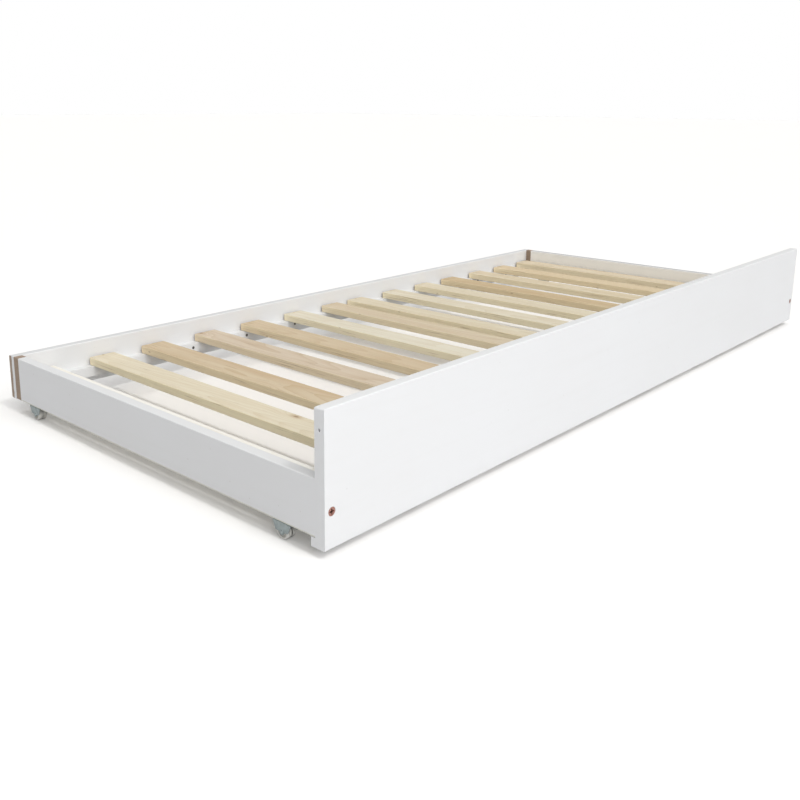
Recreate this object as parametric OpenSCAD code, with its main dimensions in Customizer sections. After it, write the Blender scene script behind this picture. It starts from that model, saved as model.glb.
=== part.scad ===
// Low bed on casters that rolls out from under another bed. Millimetres, +Z up.
// Origin: on the floor, at the centre of the bed. The tall front panel faces -Y.

/* [Frame] */
// Length over the end boards
bed_l = 1960; // [1500:10:2200]
// Width from the front panel's face to the back rail's face
bed_w = 946; // [700:2:1100]
// Thickness of the front panel, end boards and back rail
board_t = 20; // [16:0.5:28]
// Height of the end boards and the back rail
rail_h = 92; // [80:1:130]
// Height of the front panel
panel_h = 215.5; // [160:0.5:300]
// Clearance from the floor to the front panel
panel_gap = 14; // [8:0.5:20]
// Radius of the front panel's top corners
panel_corner_r = 3.5; // [3:0.5:20]
// Radius of the eased long edges of the painted boards
edge_r = 2; // [1:0.5:6]
// Thickness of the strip behind the front panel's foot
batten_t = 8.8; // [6:0.2:16]
// Width of the corner blocks between the end boards and the back rail
block_w = 19; // [12:0.5:30]

/* [Slat deck] */
// Number of slats
slat_n = 14; // [8:1:20]
// Width of a slat
slat_w = 62; // [40:1:80]
// Thickness of a slat
slat_t = 18; // [12:0.5:22]
// Radius of a slat's long edges
slat_r = 2; // [1:0.5:5]
// Gap from the first and last slat to the end boards
slat_side_gap = 7; // [5:1:40]
// Gap from a slat's ends to the front panel and the back rail
slat_end_gap = 5; // [1:0.5:12]
// Width of the ledgers that carry the slats
ledger_w = 20; // [16:0.5:30]
// Height of the ledgers
ledger_h = 22; // [20:0.5:32]
// Height of the ledgers' top above the underside of the rails
ledger_rise = 38.5; // [34:0.5:50]

/* [Casters] */
// Diameter of a wheel
wheel_d = 25; // [20:0.5:50]
// Width of a wheel's tread
wheel_w = 17.5; // [10:0.5:18]
// Gap between a wheel and the plate above it
wheel_top_gap = 3; // [2:0.5:8]
// Gap between a wheel and each cheek
wheel_side_gap = 0.4; // [0.3:0.1:0.8]
// Thickness of the bracket's sheet
sheet_t = 1.4; // [1:0.1:2]
// Width of a cheek where it meets the plate
cheek_w = 40; // [32:1:44]
// Radius of the round nose that holds the axle
cheek_r = 5; // [4.5:0.5:8]
// Length of a bracket's plate
plate_l = 62; // [56:1:90]
// Diameter of an axle
axle_d = 5; // [3:0.5:6]
// Thickness of an axle's riveted heads
rivet_t = 0.9; // [0.4:0.1:1]
// Distance from each long side of the bed to the nearest axle
caster_inset = 94; // [78:1:200]

/* [Fasteners] */
// Diameter of a connecting screw's head
bolt_head_d = 14.5; // [10:0.5:16]
// Diameter of a connecting screw's shank
bolt_d = 7; // [5:0.5:8]
// Length of a connecting screw
bolt_l = 60; // [50:5:80]
// How far a connecting screw sits inwards of its end board's middle
bolt_off = 4.5; // [0:0.5:4.5]
// Height of a connecting screw above the underside of the rails
bolt_rise = 43; // [36:1:56]
// Diameter of the small wood screws
screw_d = 3.6; // [3:0.1:4.5]
// Diameter of the small wood screws' heads
screw_head_d = 7.4; // [6:0.2:9]
// How far a slat screw goes into its ledger
slat_screw_bite = 7; // [4:0.5:8]
// Depth of the ledger screws below the ledgers' top
ledger_screw_drop = 11; // [10.5:0.5:14]
// Distance from the left end to the first ledger screw
ledger_screw_x = 272; // [60:4:400]
// Spacing of the ledger screws
ledger_screw_pitch = 168; // [120:4:300]
// Diameter of the dowels
dowel_d = 8; // [6:0.5:8]
// Length of the dowels
dowel_l = 36; // [24:2:40]
// Distance of the dowels above and below a connecting screw
dowel_rise = 26; // [18:1:30]
// Diameter of the round hole in each end face of the front panel
stop_hole_d = 5; // [3:0.5:8]
// Depth of that hole
stop_hole_l = 14; // [8:1:30]
// Height of that hole below the front panel's top
stop_hole_drop = 33; // [20:1:60]

/* [Hidden] */
$fn = 48;

fit = 0.05;                                     // radial clearance of a screw, dowel or axle in its hole
end_x = bed_l / 2;                              // outer face of an end board
front_y = -bed_w / 2;                           // outer face of the front panel
back_y = bed_w / 2;                             // outer face of the back rail
panel_in_y = front_y + board_t;                 // inner face of the front panel
rail_in_y = back_y - board_t;                   // inner face of the back rail
rail_z = wheel_d + wheel_top_gap + sheet_t;     // underside of the rails
panel_top = panel_gap + panel_h;
ledger_top = rail_z + ledger_rise;
batten_h = rail_z - panel_gap;                  // the end boards stand on the strip
end_board_y = rail_in_y - block_w;              // back end of an end board

inner_l = bed_l - 2 * board_t;                  // between the end boards
slat_x0 = -inner_l / 2 + slat_side_gap;
slat_pitch = (inner_l - 2 * slat_side_gap - slat_w) / (slat_n - 1);
slat_y0 = panel_in_y + slat_end_gap;
slat_l = rail_in_y - slat_end_gap - slat_y0;
// The slats were screwed down by eye: how far each one sits off its even place
slat_shift = [-3, 2, -6, 4, 7, 15, 15, -24, -13, -4, -12, -3, 0, 0];
function slat_x(i) = slat_x0 + i * slat_pitch + (i < len(slat_shift) ? slat_shift[i] : 0);

ledger_screw_n = floor((bed_l - 2 * board_t - ledger_screw_x) / ledger_screw_pitch) + 1;
ledger_screw_l = ledger_w + 0.6 * board_t;      // into the board behind the ledger
function ledger_screw_at(i) = -end_x + ledger_screw_x + i * ledger_screw_pitch;

bolt_z = rail_z + bolt_rise;
bolt_head_t = 3;
bolt_seat = 0.3;                                // the head sits this far below the panel's face
back_screw_d = bolt_d - 2;
back_screw_head_d = bolt_head_d - 4;
back_screw_l = board_t + block_w + 30;          // 30 mm of it in the end board
back_screw_rise = 26;                           // from the back rail's edges to its screws
batten_screw_n = 8;
batten_screw_z = panel_gap + batten_h / 2;
batten_screw_l = batten_t + board_t / 2;
screw_head_t = 2.2;
pan_head_t = 1.8;
recess_share = 0.6;                             // width of a cross recess, as a share of its head
dowel_in_panel = 12;

axle_z = wheel_d / 2;
caster_in = 1.5;                                // a wheel's middle sits this far inwards of its board's
axle_half = wheel_w / 2 + wheel_side_gap + sheet_t;   // centre of a wheel to a cheek's outer face
caster_x = end_x - board_t / 2 - caster_in;
caster_y = bed_w / 2 - caster_inset;
plate_w = 2 * axle_half;
plate_screw_y = (cheek_w / 2 + plate_l / 2) / 2;
plate_screw_l = 22;
rivet_d = axle_d + 2.4;

bore_r = axle_d / 2 + 0.08;                     // the wheel runs freely on its axle
tread_round = 1.5;                              // radius of the tread's edges
hub_r = axle_d / 2 + 2.5;
rim_r = wheel_d / 2 - 3;                        // inside of the rim
side_recess = 0.25 * wheel_w;                    // depth of the recess between hub and rim

white = [0.95, 0.95, 0.94];
pine = [0.86, 0.74, 0.54];
raw = [0.72, 0.6, 0.45];
zinc = [0.72, 0.75, 0.76];
plastic = [0.62, 0.6, 0.56];
copper = [0.72, 0.42, 0.32];
dark = [0.25, 0.23, 0.2];

// A rectangle with its lower left corner at the origin and its corners rounded
module round_rect(w, h, r) {
    translate([r, 0]) square([w - 2 * r, h]);
    translate([0, r]) square([w, h - 2 * r]);
    for (x = [r, w - r], y = [r, h - r]) translate([x, y]) circle(r);
}

// A board along X, with its four long edges eased
module board_x(l, t, h, r) {
    translate([-l / 2, 0, 0]) rotate([90, 0, 90]) linear_extrude(l) round_rect(t, h, r);
}

// A board along Y, from y = 0 to y = l, with its four long edges eased
module board_y(l, t, h, r) {
    translate([0, l, 0]) rotate([90, 0, 0]) linear_extrude(l) round_rect(t, h, r);
}

// A screw along +Y with a flat head, its face at the origin
module screw_y(l, shank_d, head_d, head_t) {
    rotate([-90, 0, 0]) {
        cylinder(d = head_d, h = head_t);
        cylinder(d = shank_d, h = l);
    }
}

// The stepped hole that a screw of screw_y needs
module screw_hole_y(l, shank_d, head_d, head_t) {
    rotate([-90, 0, 0]) {
        translate([0, 0, -1]) cylinder(d = head_d + 2 * fit, h = head_t + 1);
        cylinder(d = shank_d + 2 * fit, h = l + fit);
    }
}

// A cross recess, its mouth at the origin, that goes up into a head
module cross_slot(head_d, depth) {
    d = head_d * recess_share;
    for (a = [0, 90]) rotate([0, 0, a]) translate([-d / 2, -d / 12, -1]) cube([d, d / 6, depth + 1]);
}

// A screw of screw_y with a cross recess
module cross_screw_y(l, shank_d, head_d, head_t) {
    difference() {
        screw_y(l, shank_d, head_d, head_t);
        rotate([-90, 0, 0]) cross_slot(head_d, head_t * 0.6);
    }
}

// One screw at each end of a slat, over the middle of each ledger
module slat_screw_places(i) {
    for (y = [panel_in_y + ledger_w / 2, rail_in_y - ledger_w / 2])
        translate([slat_x(i) + slat_w / 2, y, ledger_top + slat_t]) rotate([-90, 0, 0]) children();
}

module slat_screw_holes(i) {
    slat_screw_places(i) screw_hole_y(slat_t + slat_screw_bite, screw_d, screw_head_d, screw_head_t);
}

module ledger_screw_places() {
    for (i = [0 : ledger_screw_n - 1], s = [-1, 1])
        translate([ledger_screw_at(i), s < 0 ? panel_in_y + ledger_w : rail_in_y - ledger_w,
                   ledger_top - ledger_screw_drop]) rotate([0, 0, s < 0 ? 180 : 0]) children();
}

module ledger_screw_holes() {
    ledger_screw_places() screw_hole_y(ledger_screw_l, screw_d, screw_head_d, screw_head_t);
}

module bolt_places() {
    for (s = [-1, 1]) translate([s * (end_x - board_t / 2 - bolt_off), front_y + bolt_seat, bolt_z])
        children();
}

module bolt_holes() {
    bolt_places() screw_hole_y(bolt_l, bolt_d, bolt_head_d, bolt_head_t);
}

module dowel_holes() {
    for (s = [-1, 1], z = [-dowel_rise, dowel_rise])
        translate([s * (end_x - board_t / 2), panel_in_y - dowel_in_panel - fit, bolt_z + z])
            rotate([-90, 0, 0]) cylinder(d = dowel_d + 2 * fit, h = dowel_l + 2 * fit);
}

module back_screw_places() {
    for (s = [-1, 1], z = [rail_z + back_screw_rise, rail_z + rail_h - back_screw_rise])
        translate([s * (end_x - board_t / 2), back_y, z]) rotate([0, 0, 180]) children();
}

module back_screw_holes() {
    back_screw_places() screw_hole_y(back_screw_l, back_screw_d, back_screw_head_d, screw_head_t);
}

module batten_screw_places() {
    for (i = [0 : batten_screw_n - 1])
        translate([-end_x + bed_l * (i + 0.5) / batten_screw_n, panel_in_y + batten_t, batten_screw_z])
            rotate([0, 0, 180]) children();
}

module batten_screw_holes() {
    batten_screw_places() screw_hole_y(batten_screw_l, screw_d, screw_head_d, screw_head_t);
}

module caster_screw_places() {
    for (sx = [-1, 1], sy = [-1, 1], e = [-1, 1])
        translate([sx * caster_x, sy * caster_y + e * plate_screw_y, rail_z - sheet_t])
            rotate([90, 0, 0]) children();
}

module front_panel() {
    color(white) difference() {
        intersection() {
            translate([0, front_y, panel_gap]) board_x(bed_l, board_t, panel_h, edge_r);
            translate([0, front_y + board_t + 1, panel_gap]) rotate([90, 0, 0])
                linear_extrude(board_t + 2) panel_outline();
        }
        bolt_holes();
        dowel_holes();
        ledger_screw_holes();
        batten_screw_holes();
        for (s = [-1, 1])
            translate([s * (end_x - stop_hole_l), front_y + board_t / 2, panel_top - stop_hole_drop])
                rotate([0, s * 90, 0]) cylinder(d = stop_hole_d, h = stop_hole_l + 1);
    }
}

// The front panel seen from the front: square below, rounded at the top corners
module panel_outline() {
    r = panel_corner_r;
    translate([-end_x, 0]) square([bed_l, panel_h - r]);
    translate([-end_x + r, 0]) square([bed_l - 2 * r, panel_h]);
    for (s = [-1, 1]) translate([s * (end_x - r), panel_h - r]) circle(r);
}

module front_batten() {
    color(white) difference() {
        translate([-end_x, panel_in_y, panel_gap]) cube([bed_l, batten_t, batten_h]);
        batten_screw_holes();
    }
}

module back_rail() {
    color(white) difference() {
        translate([0, rail_in_y, rail_z]) board_x(bed_l, board_t, rail_h, edge_r);
        back_screw_holes();
        ledger_screw_holes();
    }
}

module end_board(s) {
    color(white) difference() {
        translate([s < 0 ? -end_x : end_x - board_t, panel_in_y, rail_z])
            board_y(end_board_y - panel_in_y, board_t, rail_h, edge_r);
        bolt_holes();
        dowel_holes();
        back_screw_holes();
        caster_screw_places() rotate([-90, 0, 0])
            cylinder(d = screw_d + 2 * fit, h = plate_screw_l + fit);
    }
}

module corner_block(s) {
    color(raw) difference() {
        translate([s < 0 ? -end_x : end_x - board_t, end_board_y, rail_z])
            board_y(block_w, board_t, rail_h, edge_r);
        back_screw_holes();
    }
}

module ledger(s) {
    color(white) difference() {
        translate([-inner_l / 2, s < 0 ? panel_in_y : rail_in_y - ledger_w, ledger_top - ledger_h])
            cube([inner_l, ledger_w, ledger_h]);
        ledger_screw_holes();
        for (i = [0 : slat_n - 1]) slat_screw_holes(i);
    }
}

module slat(i) {
    if (i < slat_n) color(pine) difference() {
        translate([slat_x(i), slat_y0, ledger_top]) board_y(slat_l, slat_w, slat_t, slat_r);
        slat_screw_holes(i);
    }
}

module slat_screws() {
    color(dark) for (i = [0 : slat_n - 1]) slat_screw_places(i)
        cross_screw_y(slat_t + slat_screw_bite, screw_d, screw_head_d, screw_head_t);
}

module ledger_screws() {
    color(dark) ledger_screw_places() cross_screw_y(ledger_screw_l, screw_d, screw_head_d, screw_head_t);
}

module front_bolts() {
    color(copper) bolt_places() cross_screw_y(bolt_l, bolt_d, bolt_head_d, bolt_head_t);
}

module back_screws() {
    color(zinc) back_screw_places()
        cross_screw_y(back_screw_l, back_screw_d, back_screw_head_d, screw_head_t);
}

module batten_screws() {
    color(zinc) batten_screw_places() screw_y(batten_screw_l, screw_d, screw_head_d, screw_head_t);
}

module dowels() {
    color(pine) for (s = [-1, 1], z = [-dowel_rise, dowel_rise])
        translate([s * (end_x - board_t / 2), panel_in_y - dowel_in_panel, bolt_z + z])
            rotate([-90, 0, 0]) cylinder(d = dowel_d, h = dowel_l);
}

// Pan heads under the plates, shanks up into the end boards
module caster_screws() {
    color(zinc) caster_screw_places() {
        rotate([90, 0, 0]) cylinder(d = screw_head_d, h = pan_head_t);
        rotate([-90, 0, 0]) cylinder(d = screw_d, h = plate_screw_l);
    }
}

// One cheek of a caster bracket, in the YZ plane: it narrows to shoulders, and a round nose holds the axle
module cheek() {
    drop = wheel_d + wheel_top_gap - axle_z;    // plate's underside to axle
    shoulder = [0.35 * cheek_w, 0.1 * axle_z];
    difference() {
        union() {
            polygon([[-cheek_w / 2, drop], [cheek_w / 2, drop], shoulder, [cheek_r, 0],
                     [-cheek_r, 0], [-shoulder[0], shoulder[1]]]);
            circle(cheek_r);
        }
        circle(axle_d / 2 + fit);
    }
}

module bracket(sx, sy) {
    color(zinc) translate([sx * caster_x, sy * caster_y, 0]) difference() {
        union() {
            translate([-plate_w / 2, -plate_l / 2, rail_z - sheet_t]) cube([plate_w, plate_l, sheet_t]);
            for (x = [-axle_half, axle_half - sheet_t]) translate([x, 0, axle_z])
                rotate([90, 0, 90]) linear_extrude(sheet_t) cheek();
        }
        for (e = [-1, 1]) translate([0, e * plate_screw_y, rail_z - sheet_t - 1])
            cylinder(d = screw_d + 2 * fit, h = sheet_t + 2);
    }
}

// A wheel with rounded tread edges, a hub and a shallow recess in each side
module wheel(sx, sy) {
    w = wheel_w / 2;
    r = wheel_d / 2;
    color(plastic) translate([sx * caster_x, sy * caster_y, axle_z]) rotate([0, 90, 0])
        rotate_extrude($fn = 96) difference() {
            union() {
                translate([bore_r, -w]) square([r - tread_round - bore_r, wheel_w]);
                translate([bore_r, tread_round - w]) square([r - bore_r, wheel_w - 2 * tread_round]);
                for (y = [tread_round - w, w - tread_round])
                    translate([r - tread_round, y]) circle(tread_round);
            }
            for (y = [-w - 1, w - side_recess])
                translate([hub_r, y]) square([rim_r - hub_r, side_recess + 1]);
        }
}

module axle(sx, sy) {
    color(zinc) translate([sx * caster_x, sy * caster_y, axle_z]) rotate([0, 90, 0]) {
        translate([0, 0, -axle_half]) cylinder(d = axle_d, h = 2 * axle_half);
        for (z = [-axle_half - rivet_t, axle_half])
            translate([0, 0, z]) cylinder(d = rivet_d, h = rivet_t);
    }
}

front_panel();
front_batten();
back_rail();
end_board(-1);  // left_end_board
end_board(1);  // right_end_board
corner_block(-1);  // left_corner_block
corner_block(1);  // right_corner_block
ledger(-1);  // front_ledger
ledger(1);  // back_ledger
slat(0);  // slat_01
slat(1);  // slat_02
slat(2);  // slat_03
slat(3);  // slat_04
slat(4);  // slat_05
slat(5);  // slat_06
slat(6);  // slat_07
slat(7);  // slat_08
slat(8);  // slat_09
slat(9);  // slat_10
slat(10);  // slat_11
slat(11);  // slat_12
slat(12);  // slat_13
slat(13);  // slat_14
slat_screws();
ledger_screws();
front_bolts();
back_screws();
batten_screws();
dowels();
caster_screws();
bracket(-1, -1);  // front_left_bracket
bracket(1, -1);  // front_right_bracket
bracket(-1, 1);  // back_left_bracket
bracket(1, 1);  // back_right_bracket
wheel(-1, -1);  // front_left_wheel
wheel(1, -1);  // front_right_wheel
wheel(-1, 1);  // back_left_wheel
wheel(1, 1);  // back_right_wheel
axle(-1, -1);  // front_left_axle
axle(1, -1);  // front_right_axle
axle(-1, 1);  // back_left_axle
axle(1, 1);  // back_right_axle
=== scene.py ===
import math

import bpy
from mathutils import Matrix, Vector


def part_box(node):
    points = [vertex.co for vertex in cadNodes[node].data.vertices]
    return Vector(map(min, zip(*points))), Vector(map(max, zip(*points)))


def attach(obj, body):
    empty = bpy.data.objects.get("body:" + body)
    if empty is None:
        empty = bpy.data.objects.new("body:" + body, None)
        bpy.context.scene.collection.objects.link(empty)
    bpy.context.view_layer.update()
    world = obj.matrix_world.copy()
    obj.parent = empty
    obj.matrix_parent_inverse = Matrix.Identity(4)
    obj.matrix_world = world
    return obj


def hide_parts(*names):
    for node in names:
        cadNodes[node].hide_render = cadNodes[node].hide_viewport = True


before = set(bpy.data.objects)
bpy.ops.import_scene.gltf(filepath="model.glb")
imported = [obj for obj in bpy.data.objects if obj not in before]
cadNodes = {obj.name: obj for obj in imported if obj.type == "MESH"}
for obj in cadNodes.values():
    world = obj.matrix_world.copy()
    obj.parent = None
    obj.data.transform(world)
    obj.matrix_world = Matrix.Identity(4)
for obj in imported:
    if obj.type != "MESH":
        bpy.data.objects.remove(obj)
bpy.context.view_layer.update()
wheels = ("front_left", "front_right", "back_left", "back_right")
print("frame loaded:", len(cadNodes), "nodes")

cameraPlace = {
    "location": (-1.80015, -1.3139, 0.6433),
    "turn": (77.414, -0.331, -47.578),  # degrees
    "lens": 40.23,
    "shift": (0.0318, -0.1218),
    "farthest": 300,
}
studio = {
    "softTilt": 40.0,  # degrees from straight above, towards the front panel
    "softStrength": 1.36,
    "softWidth": 74.0,
    "keyTilt": 33.0,
    "keyStrength": 0.66,
    "keyWidth": 8.0,
    "backTilt": -38.0,
    "backStrength": 0.45,
    "backWidth": 6.0,
    "sideStrength": 13.2,
    "sidePlace": (-2.0, -2.5, 1.7),
    "sideSize": 1.4,
    "skyStrength": 0.42,
    "floorSize": 80.0,
    "floorRough": 0.9,
    "floorShine": 0.05,
    "floorColour": (0.93, 0.92, 0.905, 1),
    "floorBounce": (0.72, 0.72, 0.72, 1),
    "floorGlow": 0.06,  # the same all over
}


def placeCamera():
    turn = [math.radians(a) for a in cameraPlace["turn"]]
    bpy.ops.object.camera_add(location=cameraPlace["location"], rotation=turn)
    camera = bpy.context.object
    camera.data.lens = cameraPlace["lens"]
    camera.data.shift_x, camera.data.shift_y = cameraPlace["shift"]
    camera.data.clip_end = cameraPlace["farthest"]
    bpy.context.scene.camera = camera


def sunLamp(name, tilt, strength, softness):
    bpy.ops.object.light_add(type="SUN", rotation=(math.radians(tilt), 0, 0))
    lamp = bpy.context.object
    lamp.name = name
    lamp.data.energy = strength
    lamp.data.angle = math.radians(softness)


def buildStudio():
    sunLamp("softLamp", studio["softTilt"], studio["softStrength"], studio["softWidth"])
    sunLamp("keyLamp", studio["keyTilt"], studio["keyStrength"], studio["keyWidth"])
    sunLamp("backLamp", studio["backTilt"], studio["backStrength"], studio["backWidth"])
    bpy.ops.object.light_add(type="AREA", location=studio["sidePlace"])
    side = bpy.context.object
    side.name = "sideLamp"
    side.data.energy = studio["sideStrength"]
    side.data.size = studio["sideSize"]
    side.rotation_euler = Vector(studio["sidePlace"]).to_track_quat("Z", "Y").to_euler()
    sky = bpy.data.worlds.new("paleSky")
    sky.use_nodes = True
    bpy.context.scene.world = sky
    tree = sky.node_tree
    lighting = tree.nodes["Background"]
    lighting.inputs["Color"].default_value = (1, 1, 1, 1)
    lighting.inputs["Strength"].default_value = studio["skyStrength"]
    seen = addNode(tree, "ShaderNodeBackground", {"Color": (1, 1, 1, 1), "Strength": 1.0})
    path = addNode(tree, "ShaderNodeLightPath")
    blend = addNode(tree, "ShaderNodeMixShader", {0: path.outputs["Is Camera Ray"],
                                                  1: lighting.outputs[0], 2: seen.outputs[0]})
    tree.links.new(blend.outputs[0], tree.nodes["World Output"].inputs[0])
    bpy.ops.mesh.primitive_plane_add(size=studio["floorSize"])
    floor = bpy.context.object
    floor.name = "floor"
    paint, floorTree, shader = newFinish("floorPaint")
    shader.inputs["Roughness"].default_value = studio["floorRough"]
    shader.inputs["Specular IOR Level"].default_value = studio["floorShine"]
    shader.inputs["Emission Color"].default_value = (1, 1, 1, 1)
    seenByCamera = addNode(floorTree, "ShaderNodeLightPath").outputs["Is Camera Ray"]
    glow = sums(floorTree, "MULTIPLY", seenByCamera, studio["floorGlow"])
    floorTree.links.new(glow, shader.inputs["Emission Strength"])
    shade = blendColours(floorTree, seenByCamera, studio["floorBounce"], studio["floorColour"])
    floorTree.links.new(shade, shader.inputs["Base Color"])
    floor.data.materials.append(paint)
    bpy.context.scene.view_settings.view_transform = "Standard"


def newFinish(name):
    finish = bpy.data.materials.new(name)
    finish.use_nodes = True
    return finish, finish.node_tree, finish.node_tree.nodes["Principled BSDF"]


def addNode(tree, kind, sockets=None, **settings):
    made = tree.nodes.new(kind)
    for key, value in settings.items():
        setattr(made, key, value)
    for key, value in (sockets or {}).items():
        if isinstance(value, bpy.types.NodeSocket):
            tree.links.new(value, made.inputs[key])
        else:
            made.inputs[key].default_value = value
    return made


def sums(tree, operation, first, second=0.0):
    return addNode(tree, "ShaderNodeMath", {0: first, 1: second}, operation=operation).outputs[0]


def blendColours(tree, share, first, second, how="MIX"):
    made = addNode(tree, "ShaderNodeMix", {0: share, 6: first, 7: second}, data_type="RGBA", blend_type=how)
    return made.outputs[2]


def spread(tree, value, low, high, toLow=0.0, toHigh=1.0):
    made = addNode(tree, "ShaderNodeMapRange", {"Value": value, "From Min": low, "From Max": high,
                                                "To Min": toLow, "To Max": toHigh})
    made.clamp = True
    return made.outputs[0]


def clouds(tree, where, scale, detail=3.0, roughness=0.5):
    made = addNode(tree, "ShaderNodeTexNoise", {"Vector": where, "Scale": scale, "Detail": detail,
                                                "Roughness": roughness})
    return made.outputs[0]


def placeOn(tree, stretch=(1, 1, 1), shift=(0, 0, 0), turn=(0, 0, 0)):
    coords = addNode(tree, "ShaderNodeTexCoord")
    made = addNode(tree, "ShaderNodeMapping", {"Vector": coords.outputs["Object"], "Location": shift,
                                               "Rotation": [math.radians(a) for a in turn], "Scale": stretch})
    return made.outputs[0]


def bumpUp(tree, height, strength, distance, under=None):
    made = addNode(tree, "ShaderNodeBump", {"Height": height, "Strength": strength, "Distance": distance})
    if under is not None:
        tree.links.new(under, made.inputs["Normal"])
    return made.outputs[0]


whiteLacquer = {
    "colour": (0.80, 0.805, 0.815, 1),
    "worn": (0.75, 0.745, 0.735, 1),
    "roughness": (0.42, 0.52),
    "arris": (0.66, 0.65, 0.56, 1),  # painted shade along the lower edges, darker and yellower
    "arrisHigh": 0.0035,
}


def lacquerFinish(name, along, rawFrom=None, foot=None, innerLight=1.0, topShade=0.95):
    finish, tree, shader = newFinish(name)
    fine = [70, 70, 70]
    fine["XYZ".index(along)] = 2.5
    grain = clouds(tree, placeOn(tree, fine), 1.0, 6, 0.6)
    tone = clouds(tree, placeOn(tree), 2.3, 3)
    peel = clouds(tree, placeOn(tree), 420, 2)
    fresh, worn = whiteLacquer["colour"], whiteLacquer["worn"]
    colour = blendColours(tree, spread(tree, tone, 0.35, 0.75, 0, 0.28), fresh, worn)
    colour = blendColours(tree, spread(tree, grain, 0.5, 0.8, 0, 0.22), colour, worn)
    nibs = addNode(tree, "ShaderNodeTexVoronoi", {"Vector": placeOn(tree), "Scale": 30.0}).outputs["Distance"]
    colour = blendColours(tree, spread(tree, nibs, 0.03, 0.045, 0.35, 0), colour, (0.55, 0.53, 0.5, 1))
    look = addNode(tree, "ShaderNodeSeparateXYZ", {0: addNode(tree, "ShaderNodeTexCoord").outputs["Normal"]})
    # painted shade: faces that look up are multiplied by topShade, tops darkened by how the light falls
    upward = spread(tree, look.outputs[2], 0.7, 0.95)
    colour = blendColours(tree, upward, colour, (topShade, topShade, topShade * 0.99, 1), "MULTIPLY")
    # painted light: faces that look along -X are multiplied by innerLight, lighter from how the light falls
    if innerLight != 1.0:
        facing = spread(tree, look.outputs[0], -0.95, -0.7, 1, 0)
        colour = blendColours(tree, facing, colour, (innerLight, innerLight, innerLight * 0.98, 1), "MULTIPLY")
    # painted shade: a darker, yellower band along the lowest few millimetres of the board
    if foot is not None:
        height = addNode(tree, "ShaderNodeSeparateXYZ", {0: placeOn(tree)}).outputs[2]
        underShadeTop = foot + whiteLacquer["arrisHigh"]
        underShade = spread(tree, height, underShadeTop - 0.001, underShadeTop, 0.8, 0)
        colour = blendColours(tree, underShade, colour, whiteLacquer["arris"])
    if rawFrom is not None:
        colour = blendColours(tree, rawEndMask(tree, rawFrom), colour, endGrainColour(tree))
    tree.links.new(colour, shader.inputs["Base Color"])
    low, high = whiteLacquer["roughness"]
    tree.links.new(spread(tree, tone, 0.3, 0.7, low, high), shader.inputs["Roughness"])
    shader.inputs["Specular IOR Level"].default_value = 0.3
    normal = bumpUp(tree, grain, 0.25, 0.0004)
    tree.links.new(bumpUp(tree, peel, 0.12, 0.0002, normal), shader.inputs["Normal"])
    return finish


def rawEndMask(tree, rawFrom):
    # unpainted end grain: only on faces that look along X, and only past a wavy paint line
    normal = addNode(tree, "ShaderNodeTexCoord").outputs["Normal"]
    side = addNode(tree, "ShaderNodeSeparateXYZ", {0: normal}).outputs[0]
    ends = spread(tree, sums(tree, "ABSOLUTE", side), 0.93, 0.99)
    depth = addNode(tree, "ShaderNodeSeparateXYZ", {0: placeOn(tree)}).outputs[1]
    wave = spread(tree, clouds(tree, placeOn(tree), 55, 3), 0.3, 0.7, -0.0012, 0.0012)
    past = spread(tree, sums(tree, "ADD", depth, wave), rawFrom - 0.0006, rawFrom + 0.0006)
    return sums(tree, "MULTIPLY", ends, past)


def endGrainColour(tree):
    rings = ringBands(tree, placeOn(tree, (0, 1, 1), (0, 0.02, -0.16)), 0.0024, 0.0016)
    saw = clouds(tree, placeOn(tree, (40, 40, 900)), 1.0, 2)
    base = blendColours(tree, spread(tree, rings, 0.3, 1, 0, 0.6), (0.38, 0.29, 0.22, 1), (0.2, 0.14, 0.1, 1))
    return blendColours(tree, spread(tree, saw, 0.45, 0.75, 0, 0.5), base, (0.25, 0.18, 0.13, 1))


def ringBands(tree, where, pitch, wander):
    # growth rings round the log's middle, 0 in early wood to 1 in late wood
    far = addNode(tree, "ShaderNodeVectorMath", {0: where}, operation="LENGTH").outputs["Value"]
    drift = spread(tree, clouds(tree, where, 14, 3), 0.2, 0.8, -wander, wander)
    turns = sums(tree, "DIVIDE", sums(tree, "ADD", far, drift), pitch)
    share = sums(tree, "FRACT", turns)
    return sums(tree, "POWER", share, 2.2)


slatTones = {  # colour on the flat, then how strongly the grain shows
    "slat_01": ((0.84, 0.82, 0.74), 0.2),
    "slat_02": ((0.70, 0.63, 0.47), 0.5),
    "slat_03": ((0.60, 0.49, 0.33), 0.8),
    "slat_04": ((0.61, 0.51, 0.38), 0.8),
    "slat_05": ((0.60, 0.49, 0.33), 0.7),
    "slat_06": ((0.70, 0.65, 0.51), 0.4),
    "slat_07": ((0.63, 0.54, 0.39), 0.8),
    "slat_08": ((0.68, 0.61, 0.45), 0.6),
    "slat_09": ((0.69, 0.63, 0.48), 0.5),
    "slat_10": ((0.69, 0.62, 0.46), 0.5),
    "slat_11": ((0.58, 0.46, 0.28), 0.9),
    "slat_12": ((0.68, 0.59, 0.42), 0.6),
    "slat_13": ((0.68, 0.56, 0.37), 0.7),
    "slat_14": ((0.67, 0.58, 0.42), 0.6),
}


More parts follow.
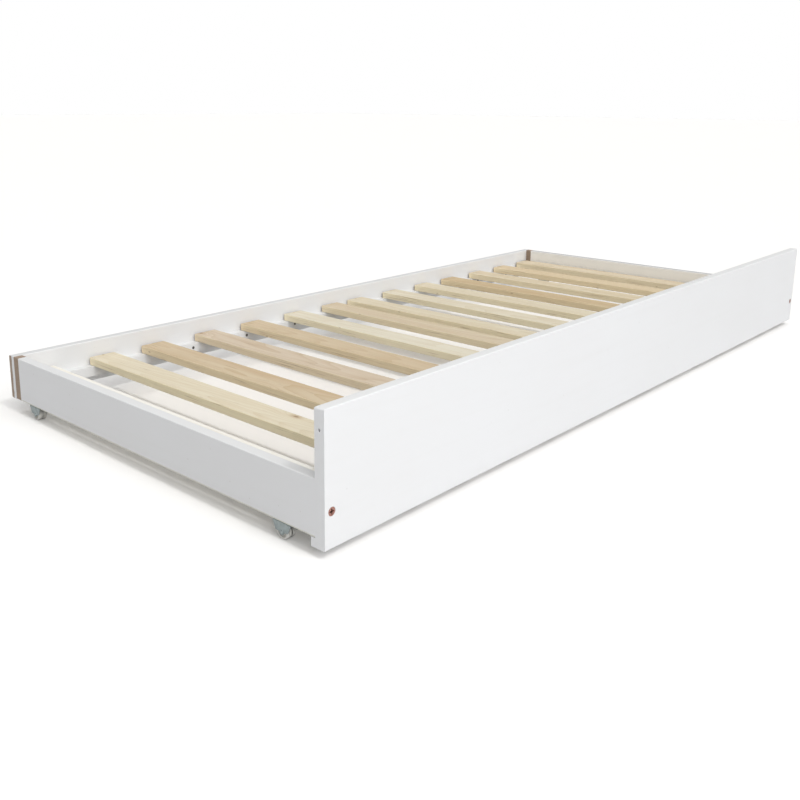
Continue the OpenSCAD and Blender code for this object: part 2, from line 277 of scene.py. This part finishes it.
def pineFinish(name, tone, figure, seed):
    finish, tree, shader = newFinish(name)
    shift = (0.37 * seed, 1.9 * seed, 0.083 * seed)
    heart = (math.sin(seed * 2.1) * 0.03, 0, -0.10 - 0.03 * math.cos(seed * 1.3))
    low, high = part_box(name if name in cadNodes else "slat_07")
    middle = (low + high) / 2
    # distance from the log's middle, which leans a little along the slat
    lean = math.sin(seed * 0.9) * 1.6
    section = placeOn(tree, (1, 0.0, 1), (-middle.x - heart[0], 0, -middle.z - heart[2]))
    skew = addNode(tree, "ShaderNodeSeparateXYZ", {0: placeOn(tree)}).outputs[1]
    lifted = sums(tree, "MULTIPLY", skew, 0.02 * lean)
    far = addNode(tree, "ShaderNodeVectorMath", {0: section}, operation="LENGTH").outputs["Value"]
    slow = clouds(tree, placeOn(tree, (9, 1.2, 9), shift), 1.0, 2)
    drift = spread(tree, slow, 0.2, 0.8, -0.014, 0.014)
    fine = clouds(tree, placeOn(tree, (90, 3, 90), shift), 1.0, 4, 0.6)
    knots = addNode(tree, "ShaderNodeTexVoronoi", {"Vector": placeOn(tree, (9, 4.2, 0), shift), "Scale": 1.0},
                    voronoi_dimensions="2D")
    chance = addNode(tree, "ShaderNodeSeparateColor", {0: knots.outputs["Color"]}).outputs[0]
    kept = spread(tree, chance, 0.80, 0.82)
    near = sums(tree, "MULTIPLY", spread(tree, knots.outputs["Distance"], 0.05, 0.30, 1, 0), kept)
    push = sums(tree, "MULTIPLY", sums(tree, "POWER", near, 2.0), 0.011)
    sumFar = sums(tree, "ADD", sums(tree, "ADD", far, lifted), sums(tree, "ADD", drift, push))
    share = sums(tree, "FRACT", sums(tree, "DIVIDE", sumFar, 0.0042))
    late = sums(tree, "POWER", share, 2.4)
    r, g, b = tone
    pale = (min(1, r * 1.05), min(1, g * 1.06), min(1, b * 1.10), 1)
    dark = (r * 0.80, g * 0.70, b * 0.56, 1)
    rust = (r * 0.86, g * 0.72, b * 0.60, 1)
    colour = blendColours(tree, sums(tree, "MULTIPLY", late, 0.62 * figure), pale, dark)
    streak = clouds(tree, placeOn(tree, (26, 1.1, 26), shift), 1.0, 3)
    colour = blendColours(tree, spread(tree, streak, 0.48, 0.78, 0, 0.55 * figure), colour, rust)
    colour = blendColours(tree, spread(tree, fine, 0.45, 0.8, 0, 0.35), colour, dark)
    hair = clouds(tree, placeOn(tree, (420, 5, 420), shift), 1.0, 3, 0.7)
    colour = blendColours(tree, spread(tree, hair, 0.5, 0.72, 0, 0.3), colour, rust)
    flecks = clouds(tree, placeOn(tree, (260, 14, 260), shift), 1.0, 2)
    fleck = (r * 0.45, g * 0.34, b * 0.24, 1)
    colour = blendColours(tree, spread(tree, flecks, 0.66, 0.74, 0, 0.4), colour, fleck)
    halo = sums(tree, "MULTIPLY", spread(tree, knots.outputs["Distance"], 0.03, 0.09, 0.45, 0), kept)
    colour = blendColours(tree, halo, colour, (r * 0.62, g * 0.44, b * 0.27, 1))
    core = sums(tree, "MULTIPLY", spread(tree, knots.outputs["Distance"], 0.015, 0.035, 0.6, 0), kept)
    colour = blendColours(tree, core, colour, (0.2, 0.11, 0.06, 1))
    # sawn ends drink more dirt and look darker
    look = addNode(tree, "ShaderNodeSeparateXYZ", {0: addNode(tree, "ShaderNodeTexCoord").outputs["Normal"]})
    endOn = spread(tree, sums(tree, "ABSOLUTE", look.outputs[1]), 0.9, 0.98, 0, 0.55)
    colour = blendColours(tree, endOn, colour, (r * 0.62, g * 0.5, b * 0.36, 1))
    # the long sides are paler and yellower than the flats: painted light, with streaks, cracks and spots of
    # grain on them
    sideLight = spread(tree, sums(tree, "ABSOLUTE", look.outputs[0]), 0.5, 0.95, 0, 1)
    colour = blendColours(tree, sideLight, colour, litSideColour(tree, tone, shift))
    tree.links.new(colour, shader.inputs["Base Color"])
    tree.links.new(spread(tree, fine, 0.2, 0.8, 0.5, 0.68), shader.inputs["Roughness"])
    shader.inputs["Specular IOR Level"].default_value = 0.35
    normal = bumpUp(tree, late, 0.25, 0.0002)
    tree.links.new(bumpUp(tree, fine, 0.5, 0.0005, normal), shader.inputs["Normal"])
    return finish


def litSideColour(tree, tone, shift):
    r, g, b = tone
    streak = clouds(tree, placeOn(tree, (30, 7, 260), shift), 1.0, 4, 0.6)
    cracks = clouds(tree, placeOn(tree, (120, 9, 420), shift), 1.0, 2)
    spots = addNode(tree, "ShaderNodeTexVoronoi", {"Vector": placeOn(tree, (0, 16, 60), shift), "Scale": 1.0})
    # painted light: the pale base lifts the sides; the streaks, cracks and spots over it are grain
    pale = (min(1, r * 0.8 + 0.40), min(1, g * 0.8 + 0.35), min(1, b * 0.7 + 0.28), 1)
    colour = blendColours(tree, spread(tree, streak, 0.42, 0.75, 0, 0.5), pale,
                          (min(1, r * 1.2), min(1, g * 1.1), b, 1))
    crack = (r * 0.55, g * 0.42, b * 0.3, 1)
    colour = blendColours(tree, spread(tree, cracks, 0.62, 0.7, 0, 0.5), colour, crack)
    return blendColours(tree, spread(tree, spots.outputs["Distance"], 0.05, 0.09, 0.6, 0), colour,
                        (r * 0.5, g * 0.36, b * 0.24, 1))


def rawBlockFinish(name):
    finish, tree, shader = newFinish(name)
    tree.links.new(endGrainColour(tree), shader.inputs["Base Color"])
    shader.inputs["Roughness"].default_value = 0.8
    saw = clouds(tree, placeOn(tree, (60, 60, 900)), 1.0, 3)
    tree.links.new(bumpUp(tree, saw, 0.6, 0.0008), shader.inputs["Normal"])
    return finish


metalTones = {  # bright and dull colour, then the smoothest and roughest
    "zinc": ((0.42, 0.47, 0.47, 1), (0.26, 0.31, 0.31, 1), 0.34, 0.52),
    "yellowZinc": ((0.74, 0.62, 0.40, 1), (0.52, 0.40, 0.22, 1), 0.32, 0.5),
    "copper": ((0.56, 0.29, 0.24, 1), (0.22, 0.10, 0.08, 1), 0.18, 0.34),
    "blackened": ((0.20, 0.19, 0.18, 1), (0.09, 0.085, 0.08, 1), 0.38, 0.6),
}


def metalFinish(name, tone):
    bright, dull, smooth, rough = metalTones[tone]
    finish, tree, shader = newFinish(name)
    flakes = addNode(tree, "ShaderNodeTexVoronoi", {"Vector": placeOn(tree), "Scale": 320.0})
    grey = addNode(tree, "ShaderNodeSeparateColor", {0: flakes.outputs["Color"]}).outputs[0]
    stain = clouds(tree, placeOn(tree), 90, 4, 0.6)
    scratch = clouds(tree, placeOn(tree, (2600, 300, 300), turn=(20, 30, 10)), 1.0, 2)
    colour = blendColours(tree, spread(tree, grey, 0, 1, 0, 0.25), bright, dull)
    colour = blendColours(tree, spread(tree, stain, 0.5, 0.75, 0, 0.7), colour, dull)
    tree.links.new(colour, shader.inputs["Base Color"])
    shader.inputs["Metallic"].default_value = 0.9
    tree.links.new(spread(tree, stain, 0.3, 0.7, smooth, rough), shader.inputs["Roughness"])
    tree.links.new(bumpUp(tree, scratch, 0.15, 0.0001), shader.inputs["Normal"])
    return finish


nylonTones = {
    "pale": (0.74, 0.73, 0.69, 1),
    "dull": (0.62, 0.6, 0.56, 1),
    "scuffed": (0.42, 0.41, 0.38, 1),
}


def wheelFinish(name):
    finish, tree, shader = newFinish(name)
    mottle = clouds(tree, placeOn(tree), 160, 4, 0.6)
    scuff = clouds(tree, placeOn(tree, (900, 60, 60)), 1.0, 3)
    colour = blendColours(tree, spread(tree, mottle, 0.35, 0.7, 0, 0.5), nylonTones["pale"],
                          nylonTones["dull"])
    colour = blendColours(tree, spread(tree, scuff, 0.55, 0.75, 0, 0.5), colour, nylonTones["scuffed"])
    tree.links.new(colour, shader.inputs["Base Color"])
    tree.links.new(spread(tree, scuff, 0.3, 0.7, 0.42, 0.62), shader.inputs["Roughness"])
    tree.links.new(bumpUp(tree, mottle, 0.2, 0.0002), shader.inputs["Normal"])
    return finish


def dress(piece, finish):
    piece.data.materials.clear()
    piece.data.materials.append(finish)


def letGo():
    bpy.ops.object.select_all(action="DESELECT")


def settle(name):
    # names the fresh primitive and moves its place into its mesh
    piece = bpy.context.object
    piece.name = name
    bpy.ops.object.transform_apply(location=True, rotation=True, scale=True)
    return piece


def addRod(name, radius, length, middle, axis, sides=32):
    letGo()
    turns = {"X": (0, math.pi / 2, 0), "Y": (math.pi / 2, 0, 0), "Z": (0, 0, 0)}
    bpy.ops.mesh.primitive_cylinder_add(vertices=sides, radius=radius, depth=length, location=middle,
                                        rotation=turns[axis])
    return settle(name)


def startEdit(piece, kind):
    letGo()
    piece.select_set(True)
    bpy.context.view_layer.objects.active = piece
    bpy.ops.object.mode_set(mode="EDIT")
    bpy.ops.mesh.select_mode(type=kind)
    bpy.ops.mesh.select_all(action="DESELECT")
    bpy.ops.object.mode_set(mode="OBJECT")


def pickFaces(piece, wanted):
    startEdit(piece, "FACE")
    for face in piece.data.polygons:
        face.select = bool(wanted(face.center, face.normal))
    bpy.ops.object.mode_set(mode="EDIT")


def pickEdges(piece, wanted):
    startEdit(piece, "EDGE")
    corners = piece.data.vertices
    for edge in piece.data.edges:
        first, second = (corners[i].co for i in edge.vertices)
        edge.select = bool(wanted(first, second))
    bpy.ops.object.mode_set(mode="EDIT")


def doneEdit():
    bpy.ops.object.mode_set(mode="OBJECT")


def applyModifier(piece, kind, **settings):
    letGo()
    piece.select_set(True)
    bpy.context.view_layer.objects.active = piece
    made = piece.modifiers.new(kind.lower(), kind)
    for key, value in settings.items():
        setattr(made, key, value)
    bpy.ops.object.modifier_apply(modifier=made.name)


def joinAll(pieces, name):
    letGo()
    for piece in pieces:
        piece.select_set(True)
    bpy.context.view_layer.objects.active = pieces[0]
    bpy.ops.object.join()
    joined = bpy.context.object
    joined.name = name
    return joined


def smoothOver(piece, degrees=35):
    letGo()
    piece.select_set(True)
    bpy.context.view_layer.objects.active = piece
    bpy.ops.object.shade_smooth_by_angle(angle=math.radians(degrees))


def copyPiece(piece, name, matrix):
    twin = piece.copy()
    twin.data = piece.data.copy()
    twin.name = name
    bpy.context.collection.objects.link(twin)
    twin.data.transform(matrix)
    return twin


def standFor(piece, body, slot, finish, *nodes):
    dress(piece, finish)
    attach(piece, body)
    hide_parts(*nodes)


wheelMake = {
    "rim": 0.003,
    "recess": 0.0042,
    "hubHigh": 0.95,  # of the recess's depth
    "draft": 0.0004,  # slope of the recess walls
    "hubWall": 0.0025,
    "bore": 0.00258,
    "treadRound": 0.0015,
    "grooveWide": 0.0014,
    "grooveDeep": 0.0016,
}


def modelWheel(name, node):
    low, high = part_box(node)
    middle, radius, width = (low + high) / 2, (high.z - low.z) / 2, high.x - low.x
    wheel = addRod(name, radius, width, middle, "X", 72)
    pickFaces(wheel, lambda place, normal: abs(normal.x) > 0.9)
    hubRadius = wheelMake["bore"] + wheelMake["hubWall"]
    draft = wheelMake["draft"]
    bpy.ops.mesh.inset(thickness=wheelMake["rim"], use_individual=True)
    bpy.ops.mesh.inset(thickness=draft, depth=-wheelMake["recess"], use_individual=True)
    bpy.ops.mesh.inset(thickness=radius - wheelMake["rim"] - 2 * draft - hubRadius, use_individual=True)
    bpy.ops.mesh.inset(thickness=draft, depth=wheelMake["recess"] * wheelMake["hubHigh"], use_individual=True)
    bpy.ops.mesh.inset(thickness=hubRadius - wheelMake["bore"], use_individual=True)
    bpy.ops.mesh.bridge_edge_loops()
    doneEdit()
    half = width / 2 - 0.00001
    onRim = lambda spot: (spot - middle).yz.length > radius - 0.0001 and abs(spot.x - middle.x) > half
    pickEdges(wheel, lambda first, second: onRim(first) and onRim(second))
    bpy.ops.mesh.bevel(offset=wheelMake["treadRound"], segments=4, affect="EDGES")
    for side in (-1, 1):
        bpy.ops.mesh.select_all(action="SELECT")
        cut = middle + Vector((side * wheelMake["grooveWide"] / 2, 0, 0))
        bpy.ops.mesh.bisect(plane_co=cut, plane_no=(1, 0, 0))
    doneEdit()
    pickFaces(wheel, lambda place, normal: abs(place.x - middle.x) < wheelMake["grooveWide"] / 2
              and (place - middle).yz.length > radius * 0.9)
    shrink = 1 - wheelMake["grooveDeep"] / radius
    bpy.ops.mesh.extrude_region_move()
    bpy.ops.transform.resize(value=(1, shrink, shrink), center_override=middle)
    doneEdit()
    smoothOver(wheel)
    return wheel


axleMake = {
    "radius": 0.0025,
    "headRadius": 0.0037,
    "headHigh": 0.0009,
    "headRound": 0.0007,
}


def modelAxle(name, node):
    low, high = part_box(node)
    middle = (low + high) / 2
    parts = [addRod(name, axleMake["radius"], high.x - low.x - axleMake["headHigh"], middle, "X")]
    for end, side in ((low.x, 1), (high.x, -1)):
        place = Vector((end + side * axleMake["headHigh"] / 2, middle.y, middle.z))
        head = addRod(name + "Head", axleMake["headRadius"], axleMake["headHigh"], place, "X")
        pickEdges(head, lambda first, second: abs(first.x - end) < 0.0001 and abs(second.x - end) < 0.0001)
        bpy.ops.mesh.bevel(offset=axleMake["headRound"], segments=4, affect="EDGES")
        doneEdit()
        parts.append(head)
    axle = joinAll(parts, name)
    smoothOver(axle)
    return axle


bracketMake = {
    "sheet": 0.0014,
    "bend": 0.0024,  # outer radius of the folds
    "bendSteps": 5,
    "cheekWide": 0.040,
    "shoulder": (0.014, 0.00125),  # half width, height above the axle
    "nose": 0.005,
    "noseSteps": 7,
    "plateRound": 0.004,
    "arris": 0.00025,
}


def modelBracket(name, node, axleNode):
    low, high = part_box(node)
    middle = (low + high) / 2
    axleLow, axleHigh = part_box(axleNode)
    axleZ = (axleLow.z + axleHigh.z) / 2
    bend, cheek = bracketMake["bend"], bracketMake["cheekWide"] / 2
    letGo()
    bpy.ops.mesh.primitive_plane_add(size=1, location=(middle.x, middle.y, high.z))
    bpy.context.object.scale = (high.x - low.x - 2 * bend, high.y - low.y, 1)
    bracket = settle(name)
    startEdit(bracket, "EDGE")
    bpy.ops.object.mode_set(mode="EDIT")
    for side in (-1, 1):
        bpy.ops.mesh.select_all(action="SELECT")
        bpy.ops.mesh.bisect(plane_co=(middle.x, middle.y + side * cheek, high.z), plane_no=(0, 1, 0))
    doneEdit()
    for side in (-1, 1):
        foldX = middle.x + side * ((high.x - low.x) / 2 - bend)
        onFold = lambda spot: abs(spot.x - foldX) < 0.0001 and abs(spot.y - middle.y) < cheek + 0.0001
        pickEdges(bracket, lambda first, second: onFold(first) and onFold(second))
        bpy.ops.mesh.spin(steps=bracketMake["bendSteps"], angle=-side * math.pi / 2,
                          center=(foldX, middle.y, high.z - bend), axis=(0, 1, 0))
        # down to the shoulders, in to the nose, then round its end
        steps = [bracketMake["shoulder"], (bracketMake["nose"], 0.0)]
        for i in range(1, bracketMake["noseSteps"]):
            turn = math.pi / 2 * i / bracketMake["noseSteps"]
            steps.append((bracketMake["nose"] * math.cos(turn), -bracketMake["nose"] * math.sin(turn)))
        halfWide, height = cheek, high.z - bend
        for nextHalf, above in steps:
            bpy.ops.mesh.extrude_region_move(TRANSFORM_OT_translate={"value": (0, 0, axleZ + above - height)})
            shrink = nextHalf / halfWide
            bpy.ops.transform.resize(value=(1, shrink, 1), center_override=middle)
            halfWide, height = nextHalf, axleZ + above
        doneEdit()
    pickFaces(bracket, lambda place, normal: True)
    bpy.ops.mesh.remove_doubles(threshold=0.00001)
    bpy.ops.mesh.normals_make_consistent(inside=False)
    doneEdit()
    applyModifier(bracket, "SOLIDIFY", thickness=bracketMake["sheet"], offset=-1)
    plateZ = high.z - bracketMake["sheet"] / 2
    isCorner = lambda spot: abs(abs(spot.y - middle.y) - (high.y - low.y) / 2) < 0.0001
    pickEdges(bracket, lambda first, second: isCorner(first) and isCorner(second)
              and abs(first.z - second.z) > 0.001 and abs(first.z + second.z - 2 * plateZ) < 0.001)
    bpy.ops.mesh.bevel(offset=bracketMake["plateRound"], segments=5, affect="EDGES")
    doneEdit()
    applyModifier(bracket, "BEVEL", width=bracketMake["arris"], segments=2, limit_method="ANGLE",
                  angle_limit=math.radians(50))
    smoothOver(bracket, 40)
    return bracket


screwMakes = {  # head radius, head height, rim rounding, shank radius
    "slatScrew": (0.0037, 0.0022, 0.0004, 0.0018),
    "ledgerScrew": (0.0037, 0.0022, 0.0004, 0.0018),
    "battenScrew": (0.0037, 0.0022, 0.0004, 0.0018),
    "backScrew": (0.00525, 0.0022, 0.0005, 0.0025),
    "casterScrew": (0.0037, 0.0018, 0.0011, 0.0018),
    "jointScrew": (0.00725, 0.003, 0.0007, 0.0035),
}
crossRecess = {
    "share": 0.72,  # of the head's width
    "deep": 0.7,  # of the head's height
    "wide": 0.17,  # of the head's width
    "taper": 0.7,
}
shankMake = {
    "point": 0.15,  # of the shank's width
    "sunk": 0.7,  # of the head's height
}


def modelScrew(name, length):
    # one screw at the origin, its head's face up
    headRadius, headHigh, rimRound, shankRadius = screwMakes[name]
    head = addRod(name, headRadius, headHigh, (0, 0, -headHigh / 2), "Z")
    pickEdges(head, lambda first, second: first.z > -0.0001 and second.z > -0.0001)
    bpy.ops.mesh.bevel(offset=rimRound, segments=4, affect="EDGES")
    doneEdit()
    arms = []
    long, wide = 2 * headRadius * crossRecess["share"], 2 * headRadius * crossRecess["wide"]
    for size in ((long, wide), (wide, long)):
        letGo()
        bpy.ops.mesh.primitive_cube_add(size=1, location=(0, 0, 0))
        bpy.context.object.scale = (size[0], size[1], 2 * headHigh * crossRecess["deep"])
        arm = settle(name + "Arm")
        pickFaces(arm, lambda place, normal: normal.z < -0.9)
        taper = crossRecess["taper"]
        bpy.ops.transform.resize(value=(taper, taper, 1), center_override=(0, 0, 0))
        doneEdit()
        arms.append(arm)
    for arm in arms:
        applyModifier(head, "BOOLEAN", operation="DIFFERENCE", solver="EXACT", object=arm)
        bpy.data.objects.remove(arm)
    straight = length - 2 * shankRadius
    shank = addRod(name + "Shank", shankRadius, straight, (0, 0, -straight / 2), "Z", 20)
    pickFaces(shank, lambda place, normal: normal.z < -0.9)
    bpy.ops.mesh.extrude_region_move(TRANSFORM_OT_translate={"value": (0, 0, -2 * shankRadius)})
    point = shankMake["point"]
    bpy.ops.transform.resize(value=(point, point, 1), center_override=(0, 0, -length))
    doneEdit()
    sunk = headHigh * shankMake["sunk"]
    shank.data.transform(Matrix.Translation((0, 0, -sunk)) @ Matrix.Diagonal((1, 1, 1 - sunk / length, 1)))
    screw = joinAll([head, shank], name)
    smoothOver(screw)
    return screw


def solidBoxes(node):
    # low and high corner of each separate solid in a CAD node
    mesh = cadNodes[node].data
    spots, leader = {}, []

    def first(i):
        while leader[i] != i:
            i = leader[i]
        return i

    keys = []
    for corner in mesh.vertices:
        key = tuple(round(value, 5) for value in corner.co)
        if key not in spots:
            spots[key] = len(leader)
            leader.append(len(leader))
        keys.append(spots[key])
    for face in mesh.polygons:
        roots = [first(keys[i]) for i in face.vertices]
        for other in roots[1:]:
            leader[first(other)] = first(roots[0])
    groups = {}
    for key, i in spots.items():
        groups.setdefault(first(i), []).append(key)
    boxes = []
    for corners in groups.values():
        boxes.append((Vector([min(c[i] for c in corners) for i in range(3)]),
                      Vector([max(c[i] for c in corners) for i in range(3)])))
    return sorted(boxes, key=lambda box: tuple(box[0]))


def driveScrews(name, node, outward, slot, finish):
    # a modelled screw wherever the CAD node has one; outward(box middle) is the way its head looks
    boxes = solidBoxes(node)
    size = boxes[0][1] - boxes[0][0]
    screw = modelScrew(name, max(size))
    driven = []
    for low, high in boxes:
        way = Vector(outward((low + high) / 2))
        face = (low + high) / 2 + Vector([way[i] * (high[i] - low[i]) / 2 for i in range(3)])
        turn = way.to_track_quat("Z", "Y").to_matrix().to_4x4()
        driven.append(copyPiece(screw, name + "Copy", Matrix.Translation(face) @ turn))
    bpy.data.objects.remove(screw)
    group = joinAll(driven, name + "s")
    standFor(group, "frame", slot, finish, node)
    print(name, len(boxes))


placeCamera()
buildStudio()
print("camera, lamps and floor placed")

railLow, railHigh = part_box("back_rail")
dress(cadNodes["front_panel"], lacquerFinish("lacquerPanel", "X"))
dress(cadNodes["front_batten"], lacquerFinish("lacquerBatten", "X"))
dress(cadNodes["back_rail"], lacquerFinish("lacquerRail", "X", railHigh.y - 0.010, topShade=0.85))
for side in ("left", "right"):
    # per board: painted light on the inner face and painted shade on the top
    innerLight, topShade = (1.0, 0.93) if side == "left" else (1.3, 0.68)
    endFinish = lacquerFinish("lacquerEnd." + side, "Y", None, railLow.z, innerLight, topShade)
    dress(cadNodes[side + "_end_board"], endFinish)
    dress(cadNodes[side + "_corner_block"], rawBlockFinish("sawnBlock." + side))
for side in ("front", "back"):
    dress(cadNodes[side + "_ledger"], lacquerFinish("lacquerLedger." + side, "X"))
for number, (name, (tone, figure)) in enumerate(slatTones.items()):
    dress(cadNodes[name], pineFinish(name, tone, figure, number + 1))
dress(cadNodes["dowels"], pineFinish("dowelPine", (0.66, 0.56, 0.40), 0.5, 20))
zinc, yellowZinc, copper, blackened = (metalFinish(tone + "Plate", tone) for tone in metalTones)
plastic = wheelFinish("wheelNylon")
print("finishes made")

for number, corner in enumerate(wheels):
    if number == 0:
        models = {"wheel": modelWheel("mouldedWheel", corner + "_wheel"),
                  "axle": modelAxle("rivetedAxle", corner + "_axle"),
                  "bracket": modelBracket("foldedBracket", corner + "_bracket", corner + "_axle")}
        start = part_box(corner + "_axle")[0]
    move = Matrix.Translation(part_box(corner + "_axle")[0] - start)
    for kind, model in models.items():
        piece = copyPiece(model, model.name + "." + corner, move)
        if kind == "wheel":
            standFor(piece, corner + "_wheel", "wheel_plastic", plastic, corner + "_wheel")
        else:
            standFor(piece, "frame", "zinc_plate", zinc, corner + "_" + kind)
for model in models.values():
    bpy.data.objects.remove(model)
print("casters modelled")

driveScrews("slatScrew", "slat_screws", lambda spot: (0, 0, 1), "yellow_zinc", yellowZinc)
driveScrews("ledgerScrew", "ledger_screws", lambda spot: (0, 1 if spot.y < 0 else -1, 0), "dark_steel",
            blackened)
driveScrews("battenScrew", "batten_screws", lambda spot: (0, 1, 0), "zinc_plate", zinc)
driveScrews("backScrew", "back_screws", lambda spot: (0, 1, 0), "zinc_plate", zinc)
driveScrews("casterScrew", "caster_screws", lambda spot: (0, 0, -1), "zinc_plate", zinc)
driveScrews("jointScrew", "front_bolts", lambda spot: (0, -1, 0), "copper_plate", copper)
print("screws modelled")
